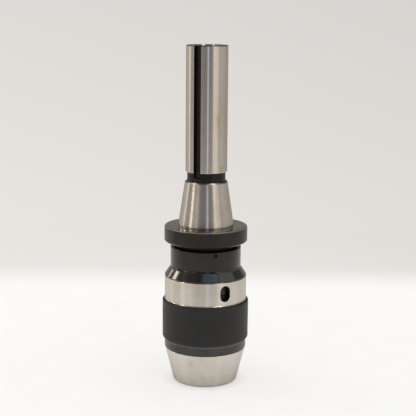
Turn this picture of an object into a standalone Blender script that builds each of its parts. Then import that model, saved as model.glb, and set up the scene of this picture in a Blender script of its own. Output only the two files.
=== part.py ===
"""Keyless drill chuck with an integral R8 taper shank, standing on its nose.

Axis along +Z, nose face at z = 0, keyway of the shank facing -Y.  Built as the
real chuck comes apart on a bench: arbor, screwed-on rear cap, steel sleeve with
its grip ring, nose with three inclined jaw guides, left-hand jaw carrier screw,
three jaws and a caged ball thrust bearing.  The jaws are fully open at rest.
"""

import math

import bmesh
import bpy
from mathutils import Matrix, Vector

MM = 0.001

# --- driving dimensions, millimetres ------------------------------------------
SEG = 48  # facets round the large turned pieces
SEG_SMALL = 18

# R8 shank
SHANK_R = 12.05
SHANK_TOP = 197.2
SHANK_BOTTOM = 124.9
GROOVE_R = 11.1
GROOVE_BOTTOM = 119.4
TAPER_TOP_R = 12.36
TAPER_BIG_R = 15.875
TAPER_BIG_Z = 95.6  # gauge line, 101.6 below the top
TAPER_END_R = 16.07  # the taper runs on past the gauge line to a short land
TAPER_END_Z = 94.3
DRAWBAR_R = 4.95  # minor radius of the 7/16-20 drawbar thread
DRAWBAR_DEPTH = 40.0
KEYWAY_WIDTH = 4.2
KEYWAY_FLOOR_R = 9.6

# arbor below the taper
JOURNAL_R = 16.0
SHOULDER_R = 20.9
SHOULDER_BOTTOM = 49.3
SHOULDER_TOP = 55.3
SCREW_BORE_R = 8.5
SCREW_BORE_TOP = 89.0

# flange collar
COLLAR_R = 24.2
COLLAR_BORE_R = 16.3
COLLAR_BOTTOM = 83.9
COLLAR_TOP = 93.2

# rear cap
NECK_R = 20.6
NECK_TOP = 81.0
CONE_TOP = 69.1
BAND_TOP = 63.8
CAP_BORE_R = 16.3
SPIGOT_R = 22.3
SPIGOT_BORE_R = 21.2
SPIGOT_BOTTOM = 57.0

# sleeve, grip, ring
BAND_R = 23.9
BAND_BOTTOM = 49.7
SLEEVE_UNDER_GRIP_R = 23.0
SLEEVE_BORE_R = 21.3
SLEEVE_BOTTOM = 26.4
GRIP_R = 25.25
GRIP_BORE_R = 23.3
GRIP_TOP = 49.4
GRIP_BOTTOM = 26.4
RING_R = 23.95
RING_BORE_R = 21.2
RING_TOP = 26.1
RING_BOTTOM = 20.7

# nose
NOSE_TOP = 20.4
NOSE_TOP_R = 23.7
NOSE_TAN = 0.2512  # outer cone, 14.1 degrees a side
NOSE_FILLET = 1.7
NOSE_SPIGOT_R = 20.9
NOSE_SPIGOT_TOP = 38.0
NOSE_CAVITY_R = 17.8
NOSE_FLOOR = 16.0
NOSE_BORE_R = 7.0

# jaws and carrier
JAW_TAN = 0.2512
JAW_R = 3.8
GUIDE_R = 4.1
JAW_AXIS_R0 = 6.04  # radius of the guide axis where it meets z = 0
JAW_TIP = 7.0
JAW_TOP = 47.0
JAW_LAND_R = 6.5  # gripping land at full opening, so 13 mm capacity
JAW_APEX_R = 6.3
JAW_OUTER_R = 20.2
JAW_NECK = (39.6, 43.8)
JAW_NECK_HALF = 2.0
CARRIER_R = 17.3
CARRIER_BOTTOM = 40.0
CARRIER_TOP = 49.0
SLOT_NECK_HALF = 2.3
SLOT_HEAD_HALF = 4.15
SLOT_STEP = 43.5
SLOT_ROOF = 47.3
SLOT_INNER_R = 5.8  # clears the jaws when they are closed
STEM_R = 8.2
STEM_TOP = 86.0

# thrust bearing
BALL_COUNT = 16
BALL_R = 1.6
BALL_PITCH_R = 18.65
BALL_Z = 59.75
RACE_GROOVE_R = 1.75

# angular places, degrees from -Y towards +X
SLOT_AZ = 54.9
PIN_AZ = 41.9
JAW_AZ = (180.0, 300.0, 60.0)


def clear_scene():
    for obj in list(bpy.data.objects):
        bpy.data.objects.remove(obj, do_unlink=True)


def finish_material(name, colour, metallic, roughness):
    mat = bpy.data.materials.new(name)
    mat.use_nodes = True
    shader = mat.node_tree.nodes.get("Principled BSDF")
    shader.inputs["Base Color"].default_value = (*colour, 1.0)
    shader.inputs["Metallic"].default_value = metallic
    shader.inputs["Roughness"].default_value = roughness
    return mat


def ground_steel(name):
    return finish_material(name, (0.50, 0.48, 0.44), 1.0, 0.28)


def black_oxide(name):
    return finish_material(name, (0.030, 0.029, 0.028), 0.6, 0.45)


def dark_satin(name):
    return finish_material(name, (0.07, 0.068, 0.066), 0.8, 0.40)


def matte_black(name):
    return finish_material(name, (0.028, 0.027, 0.026), 0.1, 0.62)


def hardened_steel(name):
    return finish_material(name, (0.42, 0.41, 0.40), 1.0, 0.22)


def felt_black(name):
    return finish_material(name, (0.012, 0.012, 0.012), 0.0, 0.95)


def link(name, bm, material):
    """Cleans a bmesh drawn in millimetres, scales it to metres and makes the node."""
    bmesh.ops.remove_doubles(bm, verts=bm.verts, dist=1e-5)
    bmesh.ops.dissolve_degenerate(bm, edges=bm.edges, dist=1e-6)
    bmesh.ops.recalc_face_normals(bm, faces=bm.faces)
    bmesh.ops.scale(bm, vec=(MM, MM, MM), verts=bm.verts)
    mesh = bpy.data.meshes.new(name)
    bm.to_mesh(mesh)
    bm.free()
    obj = bpy.data.objects.new(name, mesh)
    bpy.context.scene.collection.objects.link(obj)
    if material is not None:
        mesh.materials.append(material)
    return obj


def shade(obj, angle=35.0):
    mesh = obj.data
    for poly in mesh.polygons:
        poly.use_smooth = True
    mesh.set_sharp_from_angle(angle=math.radians(angle))
    return obj


def arc(centre_r, centre_z, radius, start, end, steps):
    """Points of a circular arc in the (r, z) half plane; angles in degrees."""
    pts = []
    for i in range(steps + 1):
        a = math.radians(start + (end - start) * i / steps)
        pts.append((centre_r + radius * math.cos(a), centre_z + radius * math.sin(a)))
    return pts


def turned(name, profile, material, steps=SEG, closed=True):
    """Spins an (r, z) outline round Z; an outline that starts and ends on the axis is a solid bar."""
    bm = bmesh.new()
    verts = [bm.verts.new((r, 0.0, z)) for r, z in profile]
    edges = [bm.edges.new((verts[i], verts[i + 1])) for i in range(len(verts) - 1)]
    if closed:
        edges.append(bm.edges.new((verts[-1], verts[0])))
    bmesh.ops.spin(
        bm,
        geom=verts + edges,
        cent=(0.0, 0.0, 0.0),
        axis=(0.0, 0.0, 1.0),
        dvec=(0.0, 0.0, 0.0),
        angle=2.0 * math.pi,
        steps=steps,
        use_merge=True,
        use_duplicate=False,
    )
    return link(name, bm, material)


def rod(name, radius, low, high, transform, steps=SEG_SMALL):
    """A capped cylinder along local Z from low to high, placed by transform."""
    bm = bmesh.new()
    bmesh.ops.create_cone(
        bm,
        cap_ends=True,
        cap_tris=False,
        segments=steps,
        radius1=radius,
        radius2=radius,
        depth=high - low,
        matrix=transform @ Matrix.Translation((0.0, 0.0, (low + high) / 2.0)),
    )
    return link(name, bm, None)


def block(name, low, high, transform):
    bm = bmesh.new()
    size = [high[i] - low[i] for i in range(3)]
    mid = [(high[i] + low[i]) / 2.0 for i in range(3)]
    bmesh.ops.create_cube(
        bm,
        size=1.0,
        matrix=transform @ Matrix.Translation(mid) @ Matrix.Diagonal((*size, 1.0)),
    )
    return link(name, bm, None)


def obround(name, half_width, half_height, near, far, transform, steps=8):
    """A slot cutter: outline in local Y and Z with round ends, extruded along local X."""
    bm = bmesh.new()
    straight = half_height - half_width
    ring = []
    for i in range(steps + 1):
        a = math.pi * i / steps
        ring.append((half_width * math.cos(a), straight + half_width * math.sin(a)))
    for i in range(steps + 1):
        a = math.pi + math.pi * i / steps
        ring.append((half_width * math.cos(a), -straight + half_width * math.sin(a)))
    face = bm.faces.new([bm.verts.new((near, y, z)) for y, z in ring])
    out = bmesh.ops.extrude_face_region(bm, geom=[face])
    moved = [v for v in out["geom"] if isinstance(v, bmesh.types.BMVert)]
    bmesh.ops.translate(bm, vec=(far - near, 0.0, 0.0), verts=moved)
    bmesh.ops.transform(bm, matrix=transform, verts=bm.verts)
    return link(name, bm, None)


def t_slot(name, transform):
    """Cutter for one radial T slot: a T outline in local Y and Z, open below and extruded along local X."""
    low = CARRIER_BOTTOM - 2.0
    outline = [
        (-SLOT_NECK_HALF, low),
        (SLOT_NECK_HALF, low),
        (SLOT_NECK_HALF, SLOT_STEP),
        (SLOT_HEAD_HALF, SLOT_STEP),
        (SLOT_HEAD_HALF, SLOT_ROOF),
        (-SLOT_HEAD_HALF, SLOT_ROOF),
        (-SLOT_HEAD_HALF, SLOT_STEP),
        (-SLOT_NECK_HALF, SLOT_STEP),
    ]
    bm = bmesh.new()
    face = bm.faces.new([bm.verts.new((SLOT_INNER_R, y, z)) for y, z in outline])
    out = bmesh.ops.extrude_face_region(bm, geom=[face])
    moved = [v for v in out["geom"] if isinstance(v, bmesh.types.BMVert)]
    bmesh.ops.translate(bm, vec=(CARRIER_R - 3.4, 0.0, 0.0), verts=moved)
    bmesh.ops.transform(bm, matrix=transform, verts=bm.verts)
    return link(name, bm, None)


def cut(obj, cutter):
    """Takes the cutter out of the piece and drops the cutter."""
    cutter.hide_render = True
    cutter.display_type = "WIRE"
    mod = obj.modifiers.new("cut", "BOOLEAN")
    mod.operation = "DIFFERENCE"
    mod.solver = "EXACT"
    mod.object = cutter
    bpy.context.view_layer.objects.active = obj
    obj.select_set(True)
    bpy.ops.object.modifier_apply(modifier=mod.name)
    obj.select_set(False)
    bpy.data.objects.remove(cutter, do_unlink=True)
    return obj


def about(azimuth):
    """Turns local +X to the direction that lies azimuth degrees from -Y towards +X."""
    return Matrix.Rotation(math.radians(azimuth - 90.0), 4, "Z")


def radial(azimuth):
    v = about(azimuth) @ Vector((1.0, 0.0, 0.0))
    return v


def guide_frame(azimuth):
    """Local Z runs up one jaw guide, whose axis leans outwards as it rises."""
    lean = math.atan(JAW_TAN)
    return (
        about(azimuth)
        @ Matrix.Translation((JAW_AXIS_R0, 0.0, 0.0))
        @ Matrix.Rotation(lean, 4, "Y")
    )


# --- arbor: R8 shank, journal and thrust shoulder in one turned piece ----------
def make_arbor():
    profile = [
        (0.0, SHANK_TOP - DRAWBAR_DEPTH - 2.6),
        (DRAWBAR_R, SHANK_TOP - DRAWBAR_DEPTH),
        (DRAWBAR_R, SHANK_TOP - 1.0),
        (DRAWBAR_R + 1.0, SHANK_TOP),
        (SHANK_R - 0.5, SHANK_TOP),
        (SHANK_R, SHANK_TOP - 0.5),
        (SHANK_R, SHANK_BOTTOM + 0.3),
        (SHANK_R - 0.3, SHANK_BOTTOM),
        (GROOVE_R + 0.2, SHANK_BOTTOM),
        (GROOVE_R, SHANK_BOTTOM - 0.4),
        (GROOVE_R, GROOVE_BOTTOM + 0.4),
        (GROOVE_R + 0.2, GROOVE_BOTTOM),
        (TAPER_TOP_R - 0.5, GROOVE_BOTTOM),
        (TAPER_TOP_R + 0.1, GROOVE_BOTTOM - 0.7),
        (TAPER_BIG_R, TAPER_BIG_Z),
        (TAPER_END_R, TAPER_END_Z),
        (TAPER_END_R, COLLAR_TOP + 0.4),
        (JOURNAL_R, COLLAR_TOP + 0.2),
        (JOURNAL_R, SHOULDER_TOP),
        (SHOULDER_R - 0.3, SHOULDER_TOP),
        (SHOULDER_R, SHOULDER_TOP - 0.3),
        (SHOULDER_R, SHOULDER_BOTTOM + 0.5),
        (SHOULDER_R - 0.5, SHOULDER_BOTTOM),
        (SCREW_BORE_R + 0.7, SHOULDER_BOTTOM),
        (SCREW_BORE_R, SHOULDER_BOTTOM + 0.7),
        (SCREW_BORE_R, SCREW_BORE_TOP),
        (0.0, SCREW_BORE_TOP + 3.0),
    ]
    arbor = turned("shank_body", profile, ground_steel("shank_body_finish"), closed=False)
    keyway = block(
        "keyway_cutter",
        (KEYWAY_FLOOR_R, -KEYWAY_WIDTH / 2.0, SHANK_BOTTOM - 3.0),
        (SHANK_R + 3.0, KEYWAY_WIDTH / 2.0, SHANK_TOP + 3.0),
        about(0.0),
    )
    return shade(cut(arbor, keyway))


# --- black flange collar on the journal, under the taper -----------------------
def make_collar():
    profile = (
        [(COLLAR_BORE_R, COLLAR_BOTTOM), (COLLAR_R - 0.6, COLLAR_BOTTOM), (COLLAR_R, COLLAR_BOTTOM + 0.6)]
        + arc(COLLAR_R - 0.9, COLLAR_TOP - 0.9, 0.9, 0.0, 90.0, 2)
        + [(COLLAR_BORE_R, COLLAR_TOP)]
    )
    return shade(turned("flange_collar", profile, black_oxide("flange_collar_finish")))


def make_dust_seal():
    profile = [
        (16.3, NECK_TOP + 0.3),
        (18.3, NECK_TOP + 0.3),
        (18.6, NECK_TOP + 0.6),
        (18.6, COLLAR_BOTTOM - 0.6),
        (18.3, COLLAR_BOTTOM - 0.3),
        (16.3, COLLAR_BOTTOM - 0.3),
    ]
    return shade(turned("dust_seal", profile, felt_black("dust_seal_finish"), 36))


# --- rear cap: neck, cone and the spigot that screws into the sleeve ----------
def make_rear_cap():
    profile = [
        (CAP_BORE_R, NECK_TOP),
        (CAP_BORE_R, BAND_TOP + 0.6),
        (SPIGOT_BORE_R, BAND_TOP + 0.6),
        (SPIGOT_BORE_R, SPIGOT_BOTTOM),
        (SPIGOT_R - 0.3, SPIGOT_BOTTOM),
        (SPIGOT_R, SPIGOT_BOTTOM + 0.3),
        (SPIGOT_R, BAND_TOP),
        (BAND_R - 0.1, BAND_TOP),
        (BAND_R, BAND_TOP + 0.2),
        (NECK_R + 0.35, CONE_TOP - 0.35),
        (NECK_R, CONE_TOP + 0.2),
        (NECK_R, NECK_TOP - 0.5),
        (NECK_R - 0.5, NECK_TOP),
    ]
    cap = turned("rear_cap", profile, black_oxide("rear_cap_finish"))
    hole = rod(
        "pin_hole_cutter",
        1.3,
        15.0,
        NECK_R + 2.0,
        Matrix.Translation((0.0, 0.0, 79.0)) @ about(PIN_AZ) @ Matrix.Rotation(math.pi / 2.0, 4, "Y"),
        16,
    )
    cut(cap, hole)
    slot = obround(
        "cap_slot_cutter", 3.12, 4.6, 19.5, 25.5, Matrix.Translation((0.0, 0.0, 57.0)) @ about(SLOT_AZ)
    )
    return shade(cut(cap, slot))


def make_cap_screw():
    bm = bmesh.new()
    bmesh.ops.create_cone(
        bm,
        cap_ends=True,
        segments=16,
        radius1=0.98,
        radius2=0.98,
        depth=2.6,
        matrix=Matrix.Translation((0.0, 0.0, 79.0))
        @ about(PIN_AZ)
        @ Matrix.Rotation(math.pi / 2.0, 4, "Y")
        @ Matrix.Translation((0.0, 0.0, 18.5)),
    )
    return shade(link("cap_lock_screw", bm, dark_satin("cap_lock_screw_finish")))


# --- steel sleeve: bright band above, tube under the grip ---------------------
def make_sleeve():
    profile = [
        (SLEEVE_BORE_R, SLEEVE_BOTTOM),
        (SLEEVE_UNDER_GRIP_R, SLEEVE_BOTTOM),
        (SLEEVE_UNDER_GRIP_R, BAND_BOTTOM),
        (BAND_R - 0.25, BAND_BOTTOM),
        (BAND_R, BAND_BOTTOM + 0.25),
        (BAND_R, BAND_TOP - 0.5),
        (BAND_R - 0.2, BAND_TOP - 0.3),
        (SPIGOT_R + 0.3, BAND_TOP - 0.3),
        (SPIGOT_R + 0.3, SPIGOT_BOTTOM - 0.3),
        (SLEEVE_BORE_R, SPIGOT_BOTTOM - 0.3),
    ]
    sleeve = turned("sleeve_band", profile, ground_steel("sleeve_band_finish"))
    slot = obround(
        "sleeve_slot_cutter", 3.12, 4.6, 19.5, 26.0, Matrix.Translation((0.0, 0.0, 57.0)) @ about(SLOT_AZ)
    )
    return shade(cut(sleeve, slot))


def make_grip():
    profile = (
        [(GRIP_BORE_R, GRIP_BOTTOM)]
        + arc(GRIP_R - 1.7, GRIP_BOTTOM + 1.7, 1.7, -90.0, 0.0, 3)
        + arc(GRIP_R - 1.7, GRIP_TOP - 1.7, 1.7, 0.0, 90.0, 3)
        + [(GRIP_BORE_R, GRIP_TOP)]
    )
    return shade(turned("grip_ring", profile, matte_black("grip_ring_finish")))


def make_ring():
    profile = [
        (RING_BORE_R, RING_BOTTOM),
        (RING_R - 0.25, RING_BOTTOM),
        (RING_R, RING_BOTTOM + 0.25),
        (RING_R, RING_TOP - 1.1),
        (RING_R - 0.6, RING_TOP),
        (RING_BORE_R, RING_TOP),
    ]
    return shade(turned("retaining_ring", profile, dark_satin("retaining_ring_finish")))


# --- nose: outer cone, carrier chamber and three inclined jaw guides ----------
def make_nose():
    lean = math.degrees(math.atan(NOSE_TAN))
    centre_z = NOSE_FILLET
    line_r = NOSE_TOP_R - NOSE_TAN * (NOSE_TOP - centre_z)
    centre_r = line_r - NOSE_FILLET / math.cos(math.radians(lean))
    profile = (
        [(NOSE_BORE_R, NOSE_FLOOR), (NOSE_BORE_R, 0.8), (NOSE_BORE_R + 0.8, 0.0)]
        + arc(centre_r, centre_z, NOSE_FILLET, -90.0, -lean, 3)
        + [
            (NOSE_TOP_R - 0.1, NOSE_TOP - 0.35),
            (NOSE_TOP_R - 0.35, NOSE_TOP),
            (NOSE_SPIGOT_R, NOSE_TOP),
            (NOSE_SPIGOT_R, NOSE_SPIGOT_TOP - 0.4),
            (NOSE_SPIGOT_R - 0.4, NOSE_SPIGOT_TOP),
            (NOSE_CAVITY_R, NOSE_SPIGOT_TOP),
            (NOSE_CAVITY_R, NOSE_FLOOR),
        ]
    )
    nose = turned("nose_cone", profile, ground_steel("nose_cone_finish"))
    for n, azimuth in enumerate(JAW_AZ):
        cut(nose, rod("guide_cutter_%d" % n, GUIDE_R, -8.0, 46.0, guide_frame(azimuth)))
    return shade(nose)


# --- jaw carrier: T-slotted head and left-hand screw stem ---------------------
def make_carrier():
    profile = [
        (0.0, CARRIER_BOTTOM),
        (CARRIER_R - 0.5, CARRIER_BOTTOM),
        (CARRIER_R, CARRIER_BOTTOM + 0.5),
        (CARRIER_R, CARRIER_TOP - 0.5),
        (CARRIER_R - 0.5, CARRIER_TOP),
        (STEM_R - 0.6, CARRIER_TOP),
        (STEM_R - 0.6, CARRIER_TOP + 1.6),
        (STEM_R, CARRIER_TOP + 2.2),
        (STEM_R, STEM_TOP - 1.2),
        (STEM_R - 1.2, STEM_TOP),
        (0.0, STEM_TOP),
    ]
    carrier = turned("jaw_carrier_screw", profile, hardened_steel("jaw_carrier_screw_finish"), 40, closed=False)
    for n, azimuth in enumerate(JAW_AZ):
        cut(carrier, t_slot("t_slot_%d" % n, about(azimuth)))
    return shade(carrier)


# --- one jaw: round rod ground to a gripping wedge, with a T head -------------
def make_jaw(name, azimuth):
    bm = bmesh.new()
    local = about(azimuth).inverted() @ guide_frame(azimuth)
    bmesh.ops.create_cone(
        bm,
        cap_ends=True,
        segments=SEG_SMALL,
        radius1=JAW_R,
        radius2=JAW_R,
        depth=60.0,
        matrix=local @ Matrix.Translation((0.0, 0.0, 28.0)),
    )

    def plane_cut(point, normal):
        out = bmesh.ops.bisect_plane(
            bm,
            geom=bm.verts[:] + bm.edges[:] + bm.faces[:],
            dist=1e-6,
            plane_co=point,
            plane_no=normal,
            clear_outer=True,
        )
        rim = [g for g in out["geom_cut"] if isinstance(g, bmesh.types.BMEdge)]
        bmesh.ops.edgeloop_fill(bm, edges=rim)

    side = math.radians(60.0)
    plane_cut((0.0, 0.0, JAW_TIP), (0.0, 0.0, -1.0))
    plane_cut((0.0, 0.0, JAW_TOP), (0.0, 0.0, 1.0))
    plane_cut((JAW_LAND_R, 0.0, 0.0), (-1.0, 0.0, 0.0))
    plane_cut((JAW_APEX_R, 0.0, 0.0), (-math.sin(side), math.cos(side), 0.0))
    plane_cut((JAW_APEX_R, 0.0, 0.0), (-math.sin(side), -math.cos(side), 0.0))
    plane_cut((JAW_OUTER_R, 0.0, 0.0), (1.0, 0.0, 0.0))
    bmesh.ops.transform(bm, matrix=about(azimuth), verts=bm.verts)
    jaw = link(name, bm, hardened_steel(name + "_finish"))
    for n, sign in enumerate((-1.0, 1.0)):
        lo, hi = sorted((sign * JAW_NECK_HALF, sign * 6.0))
        cut(
            jaw,
            block("%s_neck_%d" % (name, n), (8.0, lo, JAW_NECK[0]), (26.0, hi, JAW_NECK[1]), about(azimuth)),
        )
    return shade(jaw)


# --- ball thrust bearing ------------------------------------------------------
def make_upper_race():
    groove = arc(BALL_PITCH_R, BALL_Z, RACE_GROOVE_R, 180.0 - 33.2, 33.2, 4)
    face = BALL_Z + RACE_GROOVE_R * math.sin(math.radians(33.2))
    profile = [(16.4, 64.1), (16.4, face)] + groove + [(20.9, face), (20.9, 64.1)]
    return shade(turned("bearing_race_upper", profile, hardened_steel("bearing_race_upper_finish"), 36))


def make_lower_race():
    groove = arc(BALL_PITCH_R, BALL_Z, RACE_GROOVE_R, 180.0 + 33.2, 360.0 - 33.2, 4)
    face = BALL_Z - RACE_GROOVE_R * math.sin(math.radians(33.2))
    profile = [(16.3, 55.6), (16.3, face)] + groove + [(20.7, face), (20.7, 55.6)]
    return shade(turned("bearing_race_lower", profile, hardened_steel("bearing_race_lower_finish"), 36))


def make_cage():
    profile = [(16.4, 59.1), (20.85, 59.1), (20.85, 60.4), (16.4, 60.4)]
    cage = turned("ball_cage", profile, black_oxide("ball_cage_finish"), 32)
    for n in range(BALL_COUNT):
        a = math.radians(360.0 * (n + 0.5) / BALL_COUNT)
        place = Matrix.Translation((BALL_PITCH_R * math.cos(a), BALL_PITCH_R * math.sin(a), 0.0))
        cut(cage, rod("pocket_%02d" % n, BALL_R + 0.25, 57.0, 63.0, place, 8))
    return shade(cage)


def make_balls():
    steel = hardened_steel("ball_finish_base")
    for n in range(BALL_COUNT):
        a = math.radians(360.0 * (n + 0.5) / BALL_COUNT)
        bm = bmesh.new()
        bmesh.ops.create_uvsphere(
            bm,
            u_segments=8,
            v_segments=6,
            radius=BALL_R,
            matrix=Matrix.Translation((BALL_PITCH_R * math.cos(a), BALL_PITCH_R * math.sin(a), BALL_Z)),
        )
        mat = steel.copy()
        mat.name = "bearing_ball_%02d_finish" % (n + 1)
        shade(link("bearing_ball_%02d" % (n + 1), bm, mat), 80.0)
    bpy.data.materials.remove(steel)


def recentre(obj, point):
    """Moves the origin to a point on the piece's joint axis; the shape stays where it is."""
    shift = Vector(point) * MM
    obj.data.transform(Matrix.Translation(-shift))
    obj.location = shift


def main():
    clear_scene()
    make_arbor()
    make_collar()
    make_dust_seal()
    make_lower_race()
    for piece in (make_rear_cap(), make_cap_screw(), make_sleeve(), make_grip(), make_ring(), make_nose(), make_upper_race()):
        recentre(piece, (0.0, 0.0, 0.0))
    make_cage()
    make_balls()
    make_carrier()
    for n, azimuth in enumerate(JAW_AZ):
        jaw = make_jaw("jaw_%d" % (n + 1), azimuth)
        centre_r = JAW_AXIS_R0 + JAW_TAN * JAW_TIP
        recentre(jaw, radial(azimuth) * centre_r + Vector((0.0, 0.0, JAW_TIP)))


main()
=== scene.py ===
"""Looks of the keyless drill chuck: turned, ground and blackened steel on a pale floor."""

import math

import bmesh
import bpy
from mathutils import Matrix, Vector


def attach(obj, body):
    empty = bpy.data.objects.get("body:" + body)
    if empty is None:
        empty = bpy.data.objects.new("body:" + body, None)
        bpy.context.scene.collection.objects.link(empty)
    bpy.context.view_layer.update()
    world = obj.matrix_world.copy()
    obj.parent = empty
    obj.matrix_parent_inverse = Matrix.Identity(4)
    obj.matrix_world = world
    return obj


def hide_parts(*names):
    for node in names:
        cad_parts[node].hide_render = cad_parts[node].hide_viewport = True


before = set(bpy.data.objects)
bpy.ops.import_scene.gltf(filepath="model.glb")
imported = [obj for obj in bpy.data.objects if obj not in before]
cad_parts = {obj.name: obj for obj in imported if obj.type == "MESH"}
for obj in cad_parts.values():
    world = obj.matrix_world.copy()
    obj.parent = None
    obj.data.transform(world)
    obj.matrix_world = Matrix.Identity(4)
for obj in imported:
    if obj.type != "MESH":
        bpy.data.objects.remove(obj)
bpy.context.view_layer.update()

MM = 0.001
SEG = 160
VIEW_AZ = 26.4  # where the camera stands, degrees from -Y towards +X

# the same driving sizes as the solids, millimetres
SHANK_R, SHANK_TOP, SHANK_BOTTOM = 12.05, 197.2, 124.9
GROOVE_R, GROOVE_BOTTOM = 11.1, 119.4
TAPER_TOP_R, TAPER_BIG_R, TAPER_BIG_Z = 12.36, 15.875, 95.6
TAPER_END_R, TAPER_END_Z = 16.07, 94.3
COLLAR_R, COLLAR_BORE_R, COLLAR_BOTTOM, COLLAR_TOP = 24.2, 16.3, 83.9, 93.2
NECK_R, NECK_TOP, CONE_TOP, BAND_TOP = 20.6, 81.0, 69.1, 63.8
BAND_R, BAND_BOTTOM = 23.9, 49.7
NOSE_TOP, NOSE_TOP_R, NOSE_TAN = 20.4, 23.7, 0.2512
JAW_TAN, JAW_R, GUIDE_R, JAW_AXIS_R0 = 0.2512, 3.8, 4.1, 6.04
SLOT_AZ, PIN_AZ = 54.9, 41.9
JAW_AZ = (180.0, 300.0, 60.0)
JAW_NAMES = ("jaw_1", "jaw_2", "jaw_3")
JAW_BODIES = ("jaw_a", "jaw_b", "jaw_c")


# ------------------------------------------------------------------ geometry --
def about(azimuth):
    """Turns local +X to the direction that lies azimuth degrees from -Y towards +X."""
    return Matrix.Rotation(math.radians(azimuth - 90.0), 4, "Z")


def guide_frame(azimuth):
    return about(azimuth) @ Matrix.Translation((JAW_AXIS_R0, 0.0, 0.0)) @ Matrix.Rotation(math.atan(JAW_TAN), 4, "Y")


def link(name, bm):
    bmesh.ops.remove_doubles(bm, verts=bm.verts, dist=1e-5)
    bmesh.ops.dissolve_degenerate(bm, edges=bm.edges, dist=1e-6)
    bmesh.ops.recalc_face_normals(bm, faces=bm.faces)
    if bm.calc_volume(signed=True) < 0.0:
        bmesh.ops.reverse_faces(bm, faces=bm.faces)
    bmesh.ops.scale(bm, vec=(MM, MM, MM), verts=bm.verts)
    mesh = bpy.data.meshes.new(name)
    bm.to_mesh(mesh)
    bm.free()
    obj = bpy.data.objects.new(name, mesh)
    bpy.context.scene.collection.objects.link(obj)
    return obj


def shade(obj, angle=32.0):
    for poly in obj.data.polygons:
        poly.use_smooth = True
    obj.data.set_sharp_from_angle(angle=math.radians(angle))
    return obj


def outline(corners, closed=True, steps=5, guard=0.12):
    """Rounds each corner (r, z, fillet) of an outline and guards the ends of the straight runs, so shading stays flat."""
    pts = []
    n = len(corners)
    for i, (r, z, f) in enumerate(corners):
        p = Vector((r, z))
        inner = closed or 0 < i < n - 1
        if f <= 0.0 or not inner:
            pts.append((r, z))
            continue
        a = (Vector(corners[i - 1][:2]) - p)
        b = (Vector(corners[(i + 1) % n][:2]) - p)
        la, lb = a.length, b.length
        a.normalize(); b.normalize()
        half = math.acos(max(-1.0, min(1.0, a.dot(b)))) / 2.0
        back = f / math.tan(half)
        back = min(back, la * 0.47, lb * 0.47)
        f = back * math.tan(half)
        start, end = p + a * back, p + b * back
        centre = p + (a + b).normalized() * (f / math.sin(half))
        sa = start - centre
        ang = math.atan2(sa.x * (end - centre).y - sa.y * (end - centre).x, sa.dot(end - centre))
        if la - back > 3 * guard:
            g = start + a * guard
            pts.append((g.x, g.y))
        for k in range(steps + 1):
            t = ang * k / steps
            c, s = math.cos(t), math.sin(t)
            pts.append((centre.x + sa.x * c - sa.y * s, centre.y + sa.x * s + sa.y * c))
        if lb - back > 3 * guard:
            g = end + b * guard
            pts.append((g.x, g.y))
    return pts


def turned(name, pts, closed=True, steps=SEG):
    bm = bmesh.new()
    verts = [bm.verts.new((max(r, 0.0), 0.0, z)) for r, z in pts]
    edges = [bm.edges.new((verts[i], verts[i + 1])) for i in range(len(verts) - 1)]
    if closed:
        edges.append(bm.edges.new((verts[-1], verts[0])))
    bmesh.ops.spin(bm, geom=verts + edges, cent=(0, 0, 0), axis=(0, 0, 1), dvec=(0, 0, 0),
                   angle=2.0 * math.pi, steps=steps, use_merge=True, use_duplicate=False)
    return link(name, bm)


def rod(name, radius, low, high, transform, steps=48, radius_high=None):
    bm = bmesh.new()
    bmesh.ops.create_cone(bm, cap_ends=True, segments=steps, radius1=radius,
                          radius2=radius if radius_high is None else radius_high, depth=high - low,
                          matrix=transform @ Matrix.Translation((0, 0, (low + high) / 2.0)))
    return link(name, bm)


def block(name, low, high, transform, bevel=0.0):
    bm = bmesh.new()
    size = [high[i] - low[i] for i in range(3)]
    mid = [(high[i] + low[i]) / 2.0 for i in range(3)]
    bmesh.ops.create_cube(bm, size=1.0, matrix=transform @ Matrix.Translation(mid) @ Matrix.Diagonal((*size, 1.0)))
    return link(name, bm)


def prism(name, rings, transform):
    """Closed loft through rings of equal length, each a list of points."""
    bm = bmesh.new()
    loops = [[bm.verts.new(p) for p in ring] for ring in rings]
    for a, b in zip(loops, loops[1:]):
        for i in range(len(a)):
            j = (i + 1) % len(a)
            bm.faces.new((a[i], a[j], b[j], b[i]))
    bm.faces.new(loops[0][::-1])
    bm.faces.new(loops[-1])
    bmesh.ops.transform(bm, matrix=transform, verts=bm.verts)
    return link(name, bm)


def obround_ring(x, half_width, half_height, steps=20):
    straight = half_height - half_width
    ring = []
    for i in range(steps + 1):
        a = math.pi * i / steps
        ring.append((x, half_width * math.cos(a), straight + half_width * math.sin(a)))
    for i in range(steps + 1):
        a = math.pi + math.pi * i / steps
        ring.append((x, half_width * math.cos(a), -straight + half_width * math.sin(a)))
    return ring


def cut(obj, cutter, solver="EXACT"):
    mod = obj.modifiers.new("cut", "BOOLEAN")
    mod.operation = "DIFFERENCE"
    mod.solver = solver
    mod.object = cutter
    bpy.context.view_layer.objects.active = obj
    bpy.ops.object.modifier_apply(modifier=mod.name)
    bpy.data.objects.remove(cutter, do_unlink=True)
    return obj


def at_height(z, azimuth):
    return Matrix.Translation((0.0, 0.0, z)) @ about(azimuth)


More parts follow.
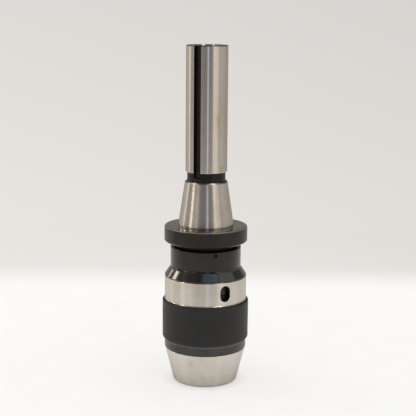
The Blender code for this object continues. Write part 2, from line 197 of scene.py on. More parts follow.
# ----------------------------------------------------------------- materials --
class Nodes:
    """Small helper that adds nodes to one material and wires them in a line."""

    def __init__(self, name):
        self.mat = bpy.data.materials.new(name)
        self.mat.use_nodes = True
        self.tree = self.mat.node_tree
        self.shader = self.tree.nodes.get("Principled BSDF")

    def add(self, kind, **props):
        node = self.tree.nodes.new(kind)
        for key, value in props.items():
            setattr(node, key, value)
        return node

    def wire(self, a, b):
        self.tree.links.new(a, b)

    def math(self, op, a, b=None, c=None, clamp=False):
        node = self.add("ShaderNodeMath", operation=op, use_clamp=clamp)
        for i, v in enumerate((a, b, c)):
            if v is None:
                continue
            if isinstance(v, (int, float)):
                node.inputs[i].default_value = v
            else:
                self.wire(v, node.inputs[i])
        return node.outputs[0]

    def vector(self, x, y, z):
        node = self.add("ShaderNodeCombineXYZ")
        for i, v in enumerate((x, y, z)):
            if isinstance(v, (int, float)):
                node.inputs[i].default_value = v
            else:
                self.wire(v, node.inputs[i])
        return node.outputs[0]

    def noise(self, vec, scale=1.0, detail=3.0, rough=0.55):
        node = self.add("ShaderNodeTexNoise")
        node.inputs["Scale"].default_value = scale
        node.inputs["Detail"].default_value = detail
        node.inputs["Roughness"].default_value = rough
        self.wire(vec, node.inputs["Vector"])
        return node.outputs[0]

    def span(self, value, low, high, to_low, to_high):
        node = self.add("ShaderNodeMapRange")
        node.clamp = True
        self.wire(value, node.inputs[0])
        for i, v in enumerate((low, high, to_low, to_high)):
            node.inputs[i + 1].default_value = v
        return node.outputs[0]

    def blend(self, fac, a, b):
        node = self.add("ShaderNodeMix", data_type="RGBA")
        self.wire(fac, node.inputs[0])
        for socket, v in ((node.inputs[6], a), (node.inputs[7], b)):
            if isinstance(v, tuple):
                socket.default_value = (*v, 1.0)
            else:
                self.wire(v, socket)
        return node.outputs[2]

    def place(self):
        """Object coordinates in millimetres as x, y, z, the angle round Z and the distance from it."""
        tc = self.add("ShaderNodeTexCoord")
        sep = self.add("ShaderNodeSeparateXYZ")
        scale = self.add("ShaderNodeVectorMath", operation="SCALE")
        scale.inputs[3].default_value = 1000.0
        self.wire(tc.outputs["Object"], scale.inputs[0])
        self.wire(scale.outputs[0], sep.inputs[0])
        x, y, z = sep.outputs
        angle = self.math("ARCTAN2", y, x)
        r = self.math("POWER", self.math("ADD", self.math("MULTIPLY", x, x), self.math("MULTIPLY", y, y)), 0.5)
        return scale.outputs[0], x, y, z, angle, r

    def bump(self, height, strength, distance, normal=None):
        node = self.add("ShaderNodeBump")
        node.inputs["Strength"].default_value = strength
        node.inputs["Distance"].default_value = distance * MM
        self.wire(height, node.inputs["Height"])
        if normal is not None:
            self.wire(normal, node.inputs["Normal"])
        return node.outputs[0]

    def ring_vector(self, angle, z, r, around, along):
        """Coordinates that run slowly round the axis and fast along it, seamless at the back."""
        c = self.math("MULTIPLY", self.math("COSINE", angle), around)
        s = self.math("MULTIPLY", self.math("SINE", angle), around)
        l = self.math("MULTIPLY", self.math("ADD", z, r), along)
        return self.vector(c, s, l)


def sector(n, angle, azimuth, half):
    """1 near one direction round the axis, falling to 0 at half degrees from it."""
    a = math.radians(azimuth - 90.0)
    turn = n.math("COSINE", n.math("SUBTRACT", angle, a))
    return n.span(turn, math.cos(math.radians(half)), 1.0, 0.0, 1.0)


def near_height(n, z, mid, half):
    return n.span(n.math("ABSOLUTE", n.math("SUBTRACT", z, mid)), half, half * 0.3, 0.0, 1.0)


def edge_line(n, r, z, edge_r, edge_z, inner, outer):
    """1 on a turned edge, fading to 0 at outer millimetres from it."""
    dr = n.math("SUBTRACT", r, edge_r)
    dz = n.math("SUBTRACT", z, edge_z)
    d = n.math("POWER", n.math("ADD", n.math("MULTIPLY", dr, dr), n.math("MULTIPLY", dz, dz)), 0.5)
    return n.span(d, inner, outer, 1.0, 0.0)


def turned_steel(name, tint, rough=0.2, aniso=0.6, line=0.5, stain=0.3, stain_tint=(0.36, 0.30, 0.20), streak=0.12, oil=()):
    """Ground or turned bright steel: fine lines round the axis, faint axial streaks, oil stains and dark specks.
    Each oil patch is (azimuth, half angle, height, half height, strength)."""
    n = Nodes(name)
    pos, x, y, z, angle, r = n.place()
    fine = n.noise(n.ring_vector(angle, z, r, 1.5, 9.0), 1.0, 4.0, 0.7)
    coarse = n.noise(n.ring_vector(angle, z, r, 2.5, 1.6), 1.0, 2.0, 0.5)
    axial = n.noise(n.ring_vector(angle, z, r, 5.0, 0.010), 1.0, 2.0, 0.5)
    cloud = n.noise(pos, 0.055, 4.0, 0.6)
    spots = n.noise(pos, 0.45, 3.0, 0.55)
    drops = n.noise(n.ring_vector(angle, z, r, 6.0, 0.16), 1.0, 4.0, 0.6)
    dark = tuple(c * (1.0 - streak) for c in tint)
    base = n.blend(n.span(axial, 0.3, 0.7, 0.0, 1.0), dark, tint)
    oily = n.math("MULTIPLY", n.span(cloud, 0.52, 0.70, 0.0, 1.0), stain, clamp=True)
    base = n.blend(oily, base, stain_tint)
    speck = n.math("MULTIPLY", n.span(spots, 0.70, 0.76, 0.0, 1.0), stain * 0.8, clamp=True)
    base = n.blend(speck, base, tuple(c * 0.45 for c in tint))
    for azimuth, half, mid, half_z, strength in oil:
        area = n.math("MULTIPLY", sector(n, angle, azimuth, half), near_height(n, z, mid, half_z))
        area = n.math("MULTIPLY", n.span(drops, 0.38, 0.60, 0.0, 1.0), area)
        base = n.blend(n.math("MULTIPLY", area, strength, clamp=True), base, (0.50, 0.40, 0.16))
    n.wire(base, n.shader.inputs["Base Color"])
    vary = n.math("ADD", n.math("MULTIPLY", fine, 0.5), n.math("MULTIPLY", cloud, 0.5))
    n.wire(n.span(vary, 0.3, 0.7, rough * 0.85, rough * 1.2), n.shader.inputs["Roughness"])
    n.shader.inputs["Metallic"].default_value = 1.0
    n.shader.inputs["Specular Tint"].default_value = (0.78, 0.76, 0.74, 1.0)
    n.shader.inputs["Anisotropic"].default_value = aniso
    tangent = n.add("ShaderNodeTangent", direction_type="RADIAL", axis="Z")
    n.wire(tangent.outputs[0], n.shader.inputs["Tangent"])
    n.shader.inputs["Anisotropic Rotation"].default_value = 0.25
    step = n.bump(fine, line, 0.004)
    n.wire(n.bump(coarse, 0.035, 0.005, step), n.shader.inputs["Normal"])
    return n.mat


def blackened(name, tint, rough=0.22, spec=0.5, line=0.35, grain=0.0, rub=0.25, rub_tint=(0.16, 0.145, 0.13), worn=(), worn_tint=(0.55, 0.49, 0.38), bright=0.8, polish=None):
    """Black oxide on turned steel: dark, with faint tool marks, cloudy oil film and rubbed patches.
    Each worn edge is (radius, height, inner, outer), where bare steel shows. polish is a height above which the face is burnished."""
    n = Nodes(name)
    pos, x, y, z, angle, r = n.place()
    fine = n.noise(n.ring_vector(angle, z, r, 1.2, 6.0), 1.0, 3.0, 0.6)
    cloud = n.noise(pos, 0.09, 4.0, 0.62)
    speckle = n.noise(pos, 3.2, 2.0, 0.6)
    rubbing = n.noise(pos, 1.1, 3.0, 0.6)
    dark = tuple(c * 0.62 for c in tint)
    base = n.blend(n.span(cloud, 0.35, 0.68, 0.0, 1.0), dark, tint)
    rubbed = n.math("MULTIPLY", n.math("MULTIPLY", n.span(fine, 0.55, 0.78, 0.0, 1.0), n.span(cloud, 0.5, 0.7, 0.0, 1.0)), rub, clamp=True)
    base = n.blend(rubbed, base, rub_tint)
    vary = n.math("ADD", n.math("MULTIPLY", fine, 0.4), n.math("MULTIPLY", cloud, 0.6))
    roughness = n.span(vary, 0.3, 0.7, rough * 0.8, rough * 1.3)
    metal = None
    if polish is not None:
        face = n.span(z, polish - 0.04, polish, 0.0, 1.0)
        base = n.blend(face, base, (0.175, 0.165, 0.152))
        shine = n.span(vary, 0.3, 0.7, 0.07, 0.13)
        keep = n.math("MULTIPLY", roughness, n.math("SUBTRACT", 1.0, face))
        roughness = n.math("ADD", keep, n.math("MULTIPLY", shine, face))
        metal = face
    for edge_r, edge_z, inner, outer in worn:
        mask = n.math("MULTIPLY", edge_line(n, r, z, edge_r, edge_z, inner, outer), n.span(rubbing, 0.25, 0.5, bright * 0.55, bright), clamp=True)
        base = n.blend(mask, base, worn_tint)
        metal = mask if metal is None else n.math("MAXIMUM", metal, mask)
    n.wire(base, n.shader.inputs["Base Color"])
    n.wire(roughness, n.shader.inputs["Roughness"])
    if metal is None:
        n.shader.inputs["Metallic"].default_value = 0.0
    else:
        n.wire(metal, n.shader.inputs["Metallic"])
    n.shader.inputs["Specular IOR Level"].default_value = spec
    first = n.bump(fine, line, 0.006)
    if grain > 0.0:
        first = n.bump(speckle, grain, 0.03, first)
    n.wire(first, n.shader.inputs["Normal"])
    return n.mat


def rubber(name):
    n = Nodes(name)
    pos, x, y, z, angle, r = n.place()
    grain = n.noise(pos, 2.5, 3.0, 0.6)
    cloud = n.noise(pos, 0.2, 2.0, 0.5)
    n.wire(n.blend(n.span(cloud, 0.3, 0.7, 0.0, 1.0), (0.003, 0.003, 0.003), (0.008, 0.007, 0.007)), n.shader.inputs["Base Color"])
    n.wire(n.span(grain, 0.3, 0.7, 0.6, 0.85), n.shader.inputs["Roughness"])
    n.shader.inputs["Specular IOR Level"].default_value = 0.2
    n.wire(n.bump(grain, 0.4, 0.04), n.shader.inputs["Normal"])
    return n.mat


def dress(obj, mat):
    obj.data.materials.clear()
    obj.data.materials.append(mat)
    return obj


STEEL_SHANK = turned_steel("ground_shank_steel", (0.645, 0.590, 0.528), rough=0.24, aniso=0.85, line=0.3, stain=0.22, streak=0.06,
                           oil=((59.5, 8.0, 153.5, 9.5, 0.95), (62.0, 7.0, 138.0, 8.0, 0.4), (72.0, 8.0, 127.0, 3.0, 0.7), (66.0, 9.0, 103.0, 5.0, 0.35)))
# painted shade: a darker copy of the steel for the up-facing top end and the taper's top chamfer, so they look dark and
# their highlights are dimmed
STEEL_END_PAINTED_DARK = turned_steel("end_steel_painted_dark", (0.24, 0.235, 0.235), rough=0.36, aniso=0.4, line=0.5, stain=0.3, streak=0.1)
STEEL_BAND = turned_steel("ground_band_steel", (0.67, 0.62, 0.55), rough=0.26, aniso=0.9, line=0.12, stain=0.16, streak=0.15,
                          oil=((-21.0, 4.0, 61.5, 1.6, 0.6), (-21.5, 6.0, 57.0, 9.0, 0.22)))
STEEL_NOSE = turned_steel("ground_nose_steel", (0.705, 0.655, 0.590), rough=0.27, aniso=0.9, line=0.18, stain=0.14, streak=0.08,
                          oil=((5.0, 5.0, 15.5, 2.4, 0.4),))
STEEL_HARD = turned_steel("hardened_steel", (0.46, 0.45, 0.435), rough=0.24, aniso=0.3, line=0.5, stain=0.25, streak=0.08)
# grease stains over bearing steel that is darkened nearly to black as painted shade, so the inside of the chuck stays
# dark through the slot
STEEL_GREASED_PAINTED_SHADE = turned_steel("greased_bearing_steel_painted_shade", (0.07, 0.065, 0.058), rough=0.34, aniso=0.2, line=0.4, stain=0.5, stain_tint=(0.03, 0.026, 0.02), streak=0.2)
BLACK_NECK = blackened("black_oxide_neck", (0.0125, 0.0080, 0.0040), rough=0.19, spec=0.40, line=0.3, rub=0.12)
BLACK_CONE = blackened("black_oxide_cone", (0.0095, 0.0078, 0.0060), rough=0.14, spec=1.0, line=0.2, rub=0.1)
BLACK_COLLAR = blackened("black_oxide_collar", (0.0128, 0.0092, 0.0058), rough=0.30, spec=0.34, line=0.4,
                         worn=((COLLAR_R - 0.24, COLLAR_TOP - 0.24, 0.25, 0.60),), bright=0.30, polish=COLLAR_TOP - 0.03)
BLACK_GRIP = blackened("matte_black_grip", (0.0155, 0.0138, 0.0128), rough=0.50, spec=0.33, line=0.3, grain=0.35, rub=0.08)
DARK_RING = blackened("dark_satin_ring", (0.036, 0.0340, 0.0335), rough=0.32, spec=0.42, line=0.5, rub=0.3, rub_tint=(0.14, 0.135, 0.13),
                      worn=((23.65, 25.55, 0.50, 0.72),), worn_tint=(0.40, 0.385, 0.37), bright=0.36)
# painted shade: a dark finish, made near black, for the faces in recesses: the groove, keyway walls, bore and inside of
# the arbor, and the slot walls in the band
CUT_FACES_PAINTED_SHADE = blackened("cut_faces_painted_shade", (0.0052, 0.0042, 0.0031), rough=0.34, spec=0.30, line=0.5, rub=0.12)
DARK_SCREW = blackened("dark_screw", (0.010, 0.010, 0.010), rough=0.4, spec=0.35, line=0.2)
DARK_CAGE = blackened("blackened_cage", (0.010, 0.009, 0.008), rough=0.35, spec=0.4, line=0.3)
SEAL = rubber("seal_rubber")


# -------------------------------------------------------------------- pieces --
def thread_ring(root, crest, low, high, pitch, inward=True):
    """Zigzag of a cut thread between two heights, drawn as grooves."""
    pts = []
    count = int((high - low) / pitch)
    step = (high - low) / count
    for i in range(count):
        z = low + i * step
        pts += [(crest, z), (crest, z + step * 0.12), (root, z + step * 0.47), (root, z + step * 0.60)]
    pts.append((crest, high))
    return pts


def arbor():
    top = SHANK_TOP
    hole = [(0.0, top - 42.6), (4.95, top - 40.0)]
    hole += thread_ring(5.55, 4.95, top - 38.5, top - 1.6, 1.27)
    pts = hole + outline([
        (4.95, top - 1.55, 0.0),
        (6.3, top, 0.0),
        (SHANK_R - 0.5, top, 0.10),
        (SHANK_R, top - 0.5, 0.12),
        (SHANK_R, SHANK_BOTTOM, 0.30),
        (GROOVE_R, SHANK_BOTTOM, 0.5),
        (GROOVE_R, GROOVE_BOTTOM, 0.5),
        (TAPER_TOP_R - 0.45, GROOVE_BOTTOM, 0.10),
        (TAPER_TOP_R + 0.08, GROOVE_BOTTOM - 0.7, 0.15),
        (TAPER_BIG_R, TAPER_BIG_Z, 0.0),
        (TAPER_END_R, TAPER_END_Z, 0.12),
        (TAPER_END_R, 93.3, 0.0),
        (16.0, 93.1, 0.0),
        (16.0, 55.3, 0.2),
        (20.9, 55.3, 0.3),
        (20.9, 49.3, 0.5),
        (8.5, 49.3, 0.5),
        (8.5, 89.0, 0.0),
        (0.0, 92.0, 0.0),
    ], closed=False)
    obj = turned("shank_arbor", pts, closed=False)
    cut(obj, block("keyway_cutter", (9.6, -2.25, SHANK_BOTTOM - 3.0), (16.0, 2.25, top + 3.0), about(-0.6)), "MANIFOLD")
    dress(obj, STEEL_SHANK)
    obj.data.materials.append(CUT_FACES_PAINTED_SHADE)
    obj.data.materials.append(STEEL_END_PAINTED_DARK)
    for poly in obj.data.polygons:
        c = poly.center / MM
        r = math.hypot(c.x, c.y)
        in_groove = GROOVE_BOTTOM - 0.05 < c.z < SHANK_BOTTOM + 0.02 and r < 11.95
        in_keyway = c.z > SHANK_BOTTOM - 3.1 and abs(c.x) < 2.45 and c.y < -5.6 and r < 11.99 and abs(poly.normal.z) < 0.9
        in_hole = r < 5.6 and c.z > 120.0
        # groove, keyway walls, bore and the hidden inside take the near-black painted shade
        if in_groove or in_keyway or in_hole or c.z < 92.9:
            poly.material_index = 1
        # up-facing faces at the top end and on the taper's top chamfer take the darker steel, painted shade
        elif poly.normal.z > 0.3 and (c.z > top - 0.55 or GROOVE_BOTTOM - 0.75 < c.z < GROOVE_BOTTOM + 0.05):
            poly.material_index = 2
    return shade(obj)


def collar():
    pts = outline([
        (16.09, COLLAR_BOTTOM, 0.2),
        (COLLAR_R - 0.8, COLLAR_BOTTOM, 0.3),
        (COLLAR_R, COLLAR_BOTTOM + 0.8, 0.4),
        (COLLAR_R, COLLAR_TOP, 0.9),
        (16.09, COLLAR_TOP, 0.03),
    ])
    return shade(dress(turned("black_collar", pts), BLACK_COLLAR))


def seal():
    pts = outline([(16.35, 81.3, 0.3), (18.6, 81.3, 0.5), (18.6, 83.6, 0.5), (16.35, 83.6, 0.3)])
    return shade(dress(turned("seal_ring", pts, steps=96), SEAL))


def slot_cutters(name, out):
    """The obround through slot, and the flare that breaks its outer edge."""
    through = prism(name + "_slot", [obround_ring(19.5, 3.12, 4.6), obround_ring(out, 3.12, 4.6)], at_height(57.0, SLOT_AZ))
    flare = prism(name + "_flare", [obround_ring(23.45, 3.05, 4.53), obround_ring(24.2, 3.42, 4.90)], at_height(57.0, SLOT_AZ))
    return through, flare


def cap():
    pts = outline([
        (16.3, NECK_TOP, 0.3),
        (16.3, 64.4, 0.0),
        (21.2, 64.4, 0.0),
        (21.2, 57.0, 0.2),
        (22.3, 57.0, 0.2),
        (22.3, BAND_TOP, 0.0),
        (BAND_R, BAND_TOP, 0.12),
        (BAND_R, BAND_TOP + 0.35, 0.12),
        (NECK_R, CONE_TOP, 2.6),
        (NECK_R, NECK_TOP, 0.55),
    ])
    obj = turned("neck_cap", pts)
    cut(obj, rod("pin_hole", 1.3, 15.0, 24.0, at_height(79.0, PIN_AZ) @ Matrix.Rotation(math.pi / 2.0, 4, "Y"), 40))
    through, flare = slot_cutters("cap", 25.0)
    bpy.data.objects.remove(flare, do_unlink=True)
    cut(obj, through)
    dress(obj, BLACK_NECK)
    obj.data.materials.append(BLACK_CONE)
    for poly in obj.data.polygons:
        if poly.center.z < (CONE_TOP + 0.05) * MM:
            poly.material_index = 1
    return shade(obj)


def lock_screw():
    place = at_height(79.0, PIN_AZ) @ Matrix.Rotation(math.pi / 2.0, 4, "Y")
    obj = rod("cap_screw", 0.98, 17.2, 19.75, place, 40)
    cut(obj, rod("socket", 0.52, 18.6, 20.4, place, 6))
    return shade(dress(obj, DARK_SCREW))


def band():
    pts = outline([
        (21.3, 26.4, 0.2),
        (23.0, 26.4, 0.2),
        (23.0, BAND_BOTTOM, 0.0),
        (24.24, BAND_BOTTOM, 0.04),
        (24.24, 49.86, 0.04),
        *[(24.24 + 0.34 * math.cos(math.radians(t)), 50.22 + 0.34 * math.sin(math.radians(t)), 0.0) for t in range(264, 179, -12)],
        (BAND_R, 50.4, 0.0),
        (BAND_R, BAND_TOP - 0.3, 0.22),
        (22.6, BAND_TOP - 0.3, 0.1),
        (22.6, 56.7, 0.0),
        (21.3, 56.7, 0.15),
    ])
    obj = turned("steel_band", pts)
    through, flare = slot_cutters("band", 26.0)
    cut(obj, through)
    cut(obj, flare)
    dress(obj, STEEL_BAND)
    obj.data.materials.append(CUT_FACES_PAINTED_SHADE)
    middle = about(SLOT_AZ).inverted()
    for poly in obj.data.polygons:
        c = middle @ (poly.center / MM)
        # slot walls inside the flare take the near-black painted shade
        if c.x > 18.0 and abs(c.y) < 3.16 and abs(c.z - 57.0) < 4.65 and math.hypot(c.x, c.y) < 23.55:
            poly.material_index = 1
    return shade(obj)


def grip():
    pts = outline([
        (23.3, 26.4, 0.1),
        (25.25, 26.4, 1.75),
        (25.25, 49.4, 1.55),
        (23.3, 49.4, 0.1),
    ], steps=9)
    return shade(dress(turned("black_grip", pts), BLACK_GRIP))


def ring():
    pts = outline([
        (21.2, 20.7, 0.2),
        (23.95, 20.7, 0.20),
        (23.95, 25.0, 0.15),
        (23.35, 26.1, 0.12),
        (21.2, 26.1, 0.2),
    ])
    return shade(dress(turned("dark_ring", pts), DARK_RING))


def nose():
    foot_r = NOSE_TOP_R - NOSE_TAN * NOSE_TOP
    pts = outline([
        (7.0, 16.0, 0.0),
        (7.0, 0.8, 0.15),
        (7.8, 0.0, 0.15),
        (foot_r, 0.0, 1.75),
        (NOSE_TOP_R, NOSE_TOP, 0.32),
        (20.9, NOSE_TOP, 0.0),
        (20.9, 38.0, 0.4),
        (17.8, 38.0, 0.2),
        (17.8, 16.0, 0.0),
    ], steps=7)
    obj = turned("nose_shell", pts)
    for k, azimuth in enumerate(JAW_AZ):
        cut(obj, rod("guide_%d" % k, GUIDE_R, -8.0, 46.0, guide_frame(azimuth), 56))
    return shade(dress(obj, STEEL_NOSE))


def t_slot(name, azimuth):
    outline_yz = [(-2.3, 38.0), (2.3, 38.0), (2.3, 43.5), (4.15, 43.5), (4.15, 47.3), (-4.15, 47.3), (-4.15, 43.5), (-2.3, 43.5)]
    return prism(name, [[(5.8, y, z) for y, z in outline_yz], [(20.5, y, z) for y, z in outline_yz]], about(azimuth))


def carrier():
    head = outline([(0.0, 40.0, 0.0), (17.3, 40.0, 0.5), (17.3, 49.0, 0.5), (7.6, 49.0, 0.0)], closed=False)
    stem = [(7.6, 51.0)] + thread_ring(7.35, 8.2, 51.6, 84.4, 4.0) + [(7.0, 86.0), (0.0, 86.0)]
    obj = turned("carrier_screw", head + stem, closed=False, steps=120)
    for k, azimuth in enumerate(JAW_AZ):
        cut(obj, t_slot("t_slot_%d" % k, azimuth))
    return shade(dress(obj, STEEL_HARD))


def jaw(name, azimuth):
    bm = bmesh.new()
    local = about(azimuth).inverted() @ guide_frame(azimuth)
    bmesh.ops.create_cone(bm, cap_ends=True, segments=56, radius1=JAW_R, radius2=JAW_R, depth=60.0,
                          matrix=local @ Matrix.Translation((0, 0, 28.0)))

    def plane_cut(point, normal):
        out = bmesh.ops.bisect_plane(bm, geom=bm.verts[:] + bm.edges[:] + bm.faces[:], dist=1e-6,
                                     plane_co=point, plane_no=normal, clear_outer=True)
        rim = [g for g in out["geom_cut"] if isinstance(g, bmesh.types.BMEdge)]
        bmesh.ops.edgeloop_fill(bm, edges=rim)

    side = math.radians(60.0)
    plane_cut((0, 0, 7.0), (0, 0, -1))
    plane_cut((0, 0, 47.0), (0, 0, 1))
    plane_cut((6.5, 0, 0), (-1, 0, 0))
    plane_cut((6.3, 0, 0), (-math.sin(side), math.cos(side), 0))
    plane_cut((6.3, 0, 0), (-math.sin(side), -math.cos(side), 0))
    plane_cut((20.2, 0, 0), (1, 0, 0))
    # the ground tip: its outer edge is broken so the jaw enters its guide
    plane_cut((11.0, 0, 7.0), (math.sin(math.radians(40.0)), 0, -math.cos(math.radians(40.0))))
    bmesh.ops.transform(bm, matrix=about(azimuth), verts=bm.verts)
    obj = link(name + "_ground", bm)
    for k, sign in enumerate((-1.0, 1.0)):
        lo, hi = sorted((sign * 2.0, sign * 6.0))
        cut(obj, block("neck_%d" % k, (8.0, lo, 39.6), (26.0, hi, 43.8), about(azimuth)))
    return shade(dress(obj, STEEL_HARD))


def carry(obj, body, node):
    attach(obj, body)
    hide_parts(node)


carry(arbor(), "arbor", "shank_body")
carry(collar(), "arbor", "flange_collar")
carry(seal(), "arbor", "dust_seal")
carry(cap(), "sleeve", "rear_cap")
carry(lock_screw(), "sleeve", "cap_lock_screw")
carry(band(), "sleeve", "sleeve_band")
carry(grip(), "sleeve", "grip_ring")
carry(ring(), "sleeve", "retaining_ring")
carry(nose(), "sleeve", "nose_cone")
carry(carrier(), "carrier", "jaw_carrier_screw")
for node_name, body_name, az in zip(JAW_NAMES, JAW_BODIES, JAW_AZ):
    carry(jaw(node_name, az), body_name, node_name)
for node_name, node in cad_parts.items():
    # bearings take the darkened steel, painted shade
    if node_name.startswith("bearing_"):
        dress(node, STEEL_GREASED_PAINTED_SHADE)
    elif node_name == "ball_cage":
        dress(node, DARK_CAGE)


# --------------------------------------------------------------------- studio --
def facing(azimuth, elevation=0.0):
    """Unit vector from the chuck, with azimuth measured from the camera's side towards its right."""
    a, e = math.radians(VIEW_AZ + azimuth), math.radians(elevation)
    return Vector((math.sin(a) * math.cos(e), -math.cos(a) * math.cos(e), math.sin(e)))


def soft_light(name, azimuth, elevation, distance, width, height, radiance, colour, aim=(0.0, 0.0, 0.1), shape="RECTANGLE"):
    data = bpy.data.lights.new(name, "AREA")
    data.shape = shape
    data.size, data.size_y = width, height
    data.energy = radiance * math.pi * width * height
    data.color = colour
    obj = bpy.data.objects.new(name, data)
    obj.location = Vector(aim) + facing(azimuth, elevation) * distance
    obj.rotation_euler = (Vector(aim) - obj.location).to_track_quat("-Z", "Y").to_euler()
    obj.visible_camera = False
    bpy.context.scene.collection.objects.link(obj)
    return obj


soft_light("window_left", -108.0, 8.0, 1.3, 0.26, 0.40, 0.80, (1.0, 0.955, 0.88))
soft_light("window_left_low", -110.0, -13.0, 1.3, 0.30, 0.52, 0.42, (1.0, 0.96, 0.89))
soft_light("window_left_high", -108.0, 29.0, 1.3, 0.20, 0.30, 9.5, (1.0, 0.91, 0.76))
soft_light("window_left_far", -133.0, -6.0, 1.3, 0.30, 0.7, 0.10, (1.0, 0.96, 0.89))
soft_light("window_far_high", -134.0, 17.0, 1.3, 0.34, 0.22, 3.2, (1.0, 0.92, 0.78))
soft_light("lamp_left_low", -68.0, 2.0, 1.3, 0.28, 0.28, 0.62, (1.0, 0.955, 0.87))
soft_light("lamp_left", -68.0, 13.5, 1.3, 0.22, 0.16, 5.0, (1.0, 0.945, 0.83))
soft_light("softbox_right", 49.5, -6.0, 1.3, 0.72, 0.80, 0.46, (1.0, 0.96, 0.90))
soft_light("lamp_right", 41.0, 13.5, 1.3, 0.36, 0.14, 2.2, (1.0, 0.945, 0.83))
soft_light("window_behind_camera", 6.2, 2.0, 1.5, 0.18, 1.5, 1.00, (0.60, 0.66, 1.0))
soft_light("fill_left", -42.0, 15.0, 1.3, 0.30, 0.26, 0.55, (1.0, 0.955, 0.88))
soft_light("fill_right", 98.0, 15.0, 1.3, 1.00, 0.26, 0.36, (1.0, 0.96, 0.91))
for k, (width, radiance) in enumerate(((0.98, 0.36), (0.76, 0.50), (0.50, 0.36))):
    soft_light("skylight_%d" % k, 17.0, 50.0, 1.4, width, 0.6, radiance * 1.35, (0.58, 0.72, 1.0), shape="ELLIPSE")
    soft_light("ceiling_right_%d" % k, 75.0, 38.0, 1.4, width * 1.3, 0.7, radiance * 1.1, (1.0, 0.94, 0.87), shape="ELLIPSE")
for lamp in (soft_light("lamp_left_top", -90.0, 48.0, 1.3, 0.34, 0.20, 15.0, (1.0, 0.94, 0.82)),
             soft_light("lamp_right_top", 58.0, 59.0, 1.3, 0.48, 0.18, 18.0, (1.0, 0.95, 0.84))):
    lamp.visible_diffuse = False

FLOOR_R = 0.44


def floor():
    """Pale paper under the nose. It is open where the nose covers it and clear from below, so the jaws show there."""
    bm = bmesh.new()
    rings = []
    for radius in (0.0162, 0.022, 0.03, 0.05, 0.12, 0.2, 0.3, 0.38, FLOOR_R):
        rings.append([bm.verts.new((radius * math.cos(2 * math.pi * i / 96), radius * math.sin(2 * math.pi * i / 96), 0.0)) for i in range(96)])
    for a, b in zip(rings, rings[1:]):
        for i in range(96):
            j = (i + 1) % 96
            bm.faces.new((a[i], b[i], b[j], a[j]))
    mesh = bpy.data.meshes.new("floor")
    bm.to_mesh(mesh)
    bm.free()
    obj = bpy.data.objects.new("floor", mesh)
    obj.location.z = -0.0001
    bpy.context.scene.collection.objects.link(obj)
    n = Nodes("pale_paper")
    pos, x, y, z, angle, r = n.place()
    grain = n.noise(pos, 0.05, 2.0, 0.5)
    n.wire(n.blend(n.span(grain, 0.3, 0.7, 0.0, 1.0), (0.83, 0.822, 0.81), (0.85, 0.842, 0.83)), n.shader.inputs["Base Color"])
    n.shader.inputs["Roughness"].default_value = 0.7
    n.shader.inputs["Specular IOR Level"].default_value = 0.1
    away = facing(180.0)
    depth = n.math("ADD", n.math("MULTIPLY", x, away.x), n.math("MULTIPLY", y, away.y))
    glow = n.add("ShaderNodeEmission")
    n.wire(n.blend(n.span(grain, 0.3, 0.7, 0.0, 1.0), (0.975, 0.967, 0.952), (0.99, 0.982, 0.968)), glow.inputs[0])
    back = n.add("ShaderNodeEmission")
    far = n.add("ShaderNodeMapRange", interpolation_type="SMOOTHSTEP")
    n.wire(r, far.inputs[0])
    far.inputs[1].default_value, far.inputs[2].default_value = 250.0, 430.0
    n.wire(n.blend(far.outputs[0], (0.805, 0.775, 0.750), (0.775, 0.745, 0.715)), back.inputs[0])
    # painted contact shadow: the paper's glow is turned down close round the foot, and over a wider ring where glossy
    # rays see it
    near = n.math("POWER", n.span(r, 16.4, 26.0, 0.0, 1.0), 0.13)
    glossy_painted_shadow = n.math("POWER", n.span(r, 16.4, 42.0, 0.0, 1.0), 0.42)
    kind = n.add("ShaderNodeLightPath")
    shade_mix = n.add("ShaderNodeMix", data_type="FLOAT")
    n.wire(kind.outputs["Is Glossy Ray"], shade_mix.inputs[0])
    n.wire(near, shade_mix.inputs[2])
    n.wire(glossy_painted_shadow, shade_mix.inputs[3])
    n.wire(shade_mix.outputs[0], glow.inputs[1])
    # the backdrop is a little darker on one side, so the paper's far edge is too
    side = facing(90.0)
    across = n.math("ADD", n.math("MULTIPLY", x, side.x / 1000.0), n.math("MULTIPLY", y, side.y / 1000.0))
    n.wire(n.span(across, -0.2, 0.2, 1.044, 0.972), back.inputs[1])
    lit = n.add("ShaderNodeMixShader")
    lit.inputs[0].default_value = 0.60
    n.wire(n.shader.outputs[0], lit.inputs[1])
    n.wire(glow.outputs[0], lit.inputs[2])
    edges = []
    for value, low, high in ((depth, 205.0, 290.0), (r, 270.0, 410.0)):
        fade = n.add("ShaderNodeMapRange", interpolation_type="SMOOTHSTEP")
        n.wire(value, fade.inputs[0])
        fade.inputs[1].default_value, fade.inputs[2].default_value = low, high
        edges.append(fade.outputs[0])
    mix = n.add("ShaderNodeMixShader")
    n.wire(n.math("MAXIMUM", *edges), mix.inputs[0])
    n.wire(lit.outputs[0], mix.inputs[1])
    n.wire(back.outputs[0], mix.inputs[2])
    under = n.add("ShaderNodeMixShader")
    n.wire(n.add("ShaderNodeNewGeometry").outputs["Backfacing"], under.inputs[0])
    n.wire(mix.outputs[0], under.inputs[1])
    n.wire(n.add("ShaderNodeBsdfTransparent").outputs[0], under.inputs[2])
    out = n.tree.nodes.get("Material Output")
    n.wire(under.outputs[0], out.inputs["Surface"])
    mesh.materials.append(n.mat)


floor()


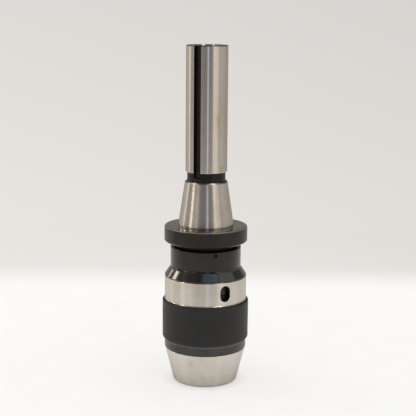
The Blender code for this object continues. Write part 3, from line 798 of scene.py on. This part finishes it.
def studio_world():
    """A pale backdrop behind, a dim room in front, and an even soft dome for the light that falls on the floor."""
    world = bpy.data.worlds.new("studio")
    bpy.context.scene.world = world
    world.use_nodes = True
    tree = world.node_tree
    tree.nodes.clear()

    def add(kind, **props):
        node = tree.nodes.new(kind)
        for key, value in props.items():
            setattr(node, key, value)
        return node

    wire = tree.links.new
    tc = add("ShaderNodeTexCoord")
    sep = add("ShaderNodeSeparateXYZ")
    wire(tc.outputs["Generated"], sep.inputs[0])

    seen = add("ShaderNodeMapRange")
    wire(sep.outputs[2], seen.inputs[0])
    seen.inputs[1].default_value, seen.inputs[2].default_value = -0.19, 0.02
    drop = add("ShaderNodeMix", data_type="RGBA")
    wire(seen.outputs[0], drop.inputs[0])
    drop.inputs[6].default_value = (0.775, 0.745, 0.715, 1.0)
    drop.inputs[7].default_value = (0.695, 0.668, 0.645, 1.0)
    back_seen = add("ShaderNodeBackground")
    wire(drop.outputs[2], back_seen.inputs[0])
    across = add("ShaderNodeVectorMath", operation="DOT_PRODUCT")
    across.inputs[1].default_value = facing(90.0)
    wire(tc.outputs["Generated"], across.inputs[0])
    slope = add("ShaderNodeMapRange")
    wire(across.outputs["Value"], slope.inputs[0])
    slope.inputs[1].default_value, slope.inputs[2].default_value = -0.2, 0.2
    slope.inputs[3].default_value, slope.inputs[4].default_value = 1.044, 0.972
    wire(slope.outputs[0], back_seen.inputs[1])

    toward, side = facing(0.0), facing(90.0)
    parts = []
    for axis in (toward, side):
        dot = add("ShaderNodeVectorMath", operation="DOT_PRODUCT")
        dot.inputs[1].default_value = axis
        wire(tc.outputs["Generated"], dot.inputs[0])
        parts.append(dot.outputs["Value"])
    turn = add("ShaderNodeMath", operation="ARCTAN2")
    wire(parts[1], turn.inputs[0])
    wire(parts[0], turn.inputs[1])
    spread = add("ShaderNodeMapRange")
    wire(turn.outputs[0], spread.inputs[0])
    spread.inputs[1].default_value, spread.inputs[2].default_value = -math.pi, math.pi
    ramp = add("ShaderNodeValToRGB")
    wire(spread.outputs[0], ramp.inputs[0])
    ramp.color_ramp.interpolation = "EASE"
    stops = ramp.color_ramp.elements
    room = ((-180.0, 0.52), (-125.0, 0.53), (-88.0, 0.37), (-45.0, 0.54), (-22.0, 0.25), (15.0, 0.20), (30.0, 0.28), (72.0, 0.54), (140.0, 0.48), (180.0, 0.52))
    for i, (azimuth, level) in enumerate(room):
        at = (azimuth + 180.0) / 360.0
        stop = stops[i] if i < 2 else stops.new(at)
        stop.position = at
        stop.color = (level * 1.02, level * 0.985, level * 0.93, 1.0)
    high = add("ShaderNodeMapRange")
    wire(sep.outputs[2], high.inputs[0])
    high.inputs[1].default_value, high.inputs[2].default_value = 0.10, 0.28
    high.inputs[3].default_value, high.inputs[4].default_value = 1.0, 0.36
    shine = add("ShaderNodeBackground")
    wire(ramp.outputs[0], shine.inputs[0])
    wire(high.outputs[0], shine.inputs[1])

    dome = add("ShaderNodeBackground")
    dome.inputs[0].default_value = (1.0, 0.992, 0.98, 1.0)
    dome.inputs[1].default_value = 1.02

    path = add("ShaderNodeLightPath")
    first = add("ShaderNodeMixShader")
    wire(path.outputs["Is Diffuse Ray"], first.inputs[0])
    wire(shine.outputs[0], first.inputs[1])
    wire(dome.outputs[0], first.inputs[2])
    second = add("ShaderNodeMixShader")
    wire(path.outputs["Is Camera Ray"], second.inputs[0])
    wire(first.outputs[0], second.inputs[1])
    wire(back_seen.outputs[0], second.inputs[2])
    out = add("ShaderNodeOutputWorld")
    wire(second.outputs[0], out.inputs["Surface"])


studio_world()
scene = bpy.context.scene
scene.view_settings.view_transform = "Standard"
scene.view_settings.look = "None"
scene.view_settings.exposure = 0.0
scene.view_settings.gamma = 1.0


def photo_camera():
    """Long lens, slightly above the shank's top, looking down 10.6 degrees."""
    pitch, yaw, roll = math.radians(10.64), math.radians(0.10), math.radians(0.46)
    fwd = Vector((math.sin(yaw) * math.cos(pitch), math.cos(yaw) * math.cos(pitch), -math.sin(pitch)))
    right = Vector((math.cos(yaw), -math.sin(yaw), 0.0))
    up = right.cross(fwd)
    r2 = right * math.cos(roll) + up * math.sin(roll)
    u2 = up * math.cos(roll) - right * math.sin(roll)
    basis = Matrix((r2, u2, -fwd)).transposed().to_4x4()
    place = Matrix.Translation((0.0, -0.650, 0.2252)) @ basis
    data = bpy.data.cameras.new("photo_camera")
    data.sensor_width = 36.0
    data.sensor_fit = "HORIZONTAL"
    data.lens = 36.0 * 1135.7 / 416.0
    data.clip_start, data.clip_end = 0.02, 20.0
    cam = bpy.data.objects.new("photo_camera", data)
    cam.matrix_world = Matrix.Rotation(math.radians(VIEW_AZ), 4, "Z") @ place
    bpy.context.scene.collection.objects.link(cam)
    bpy.context.scene.camera = cam


photo_camera()
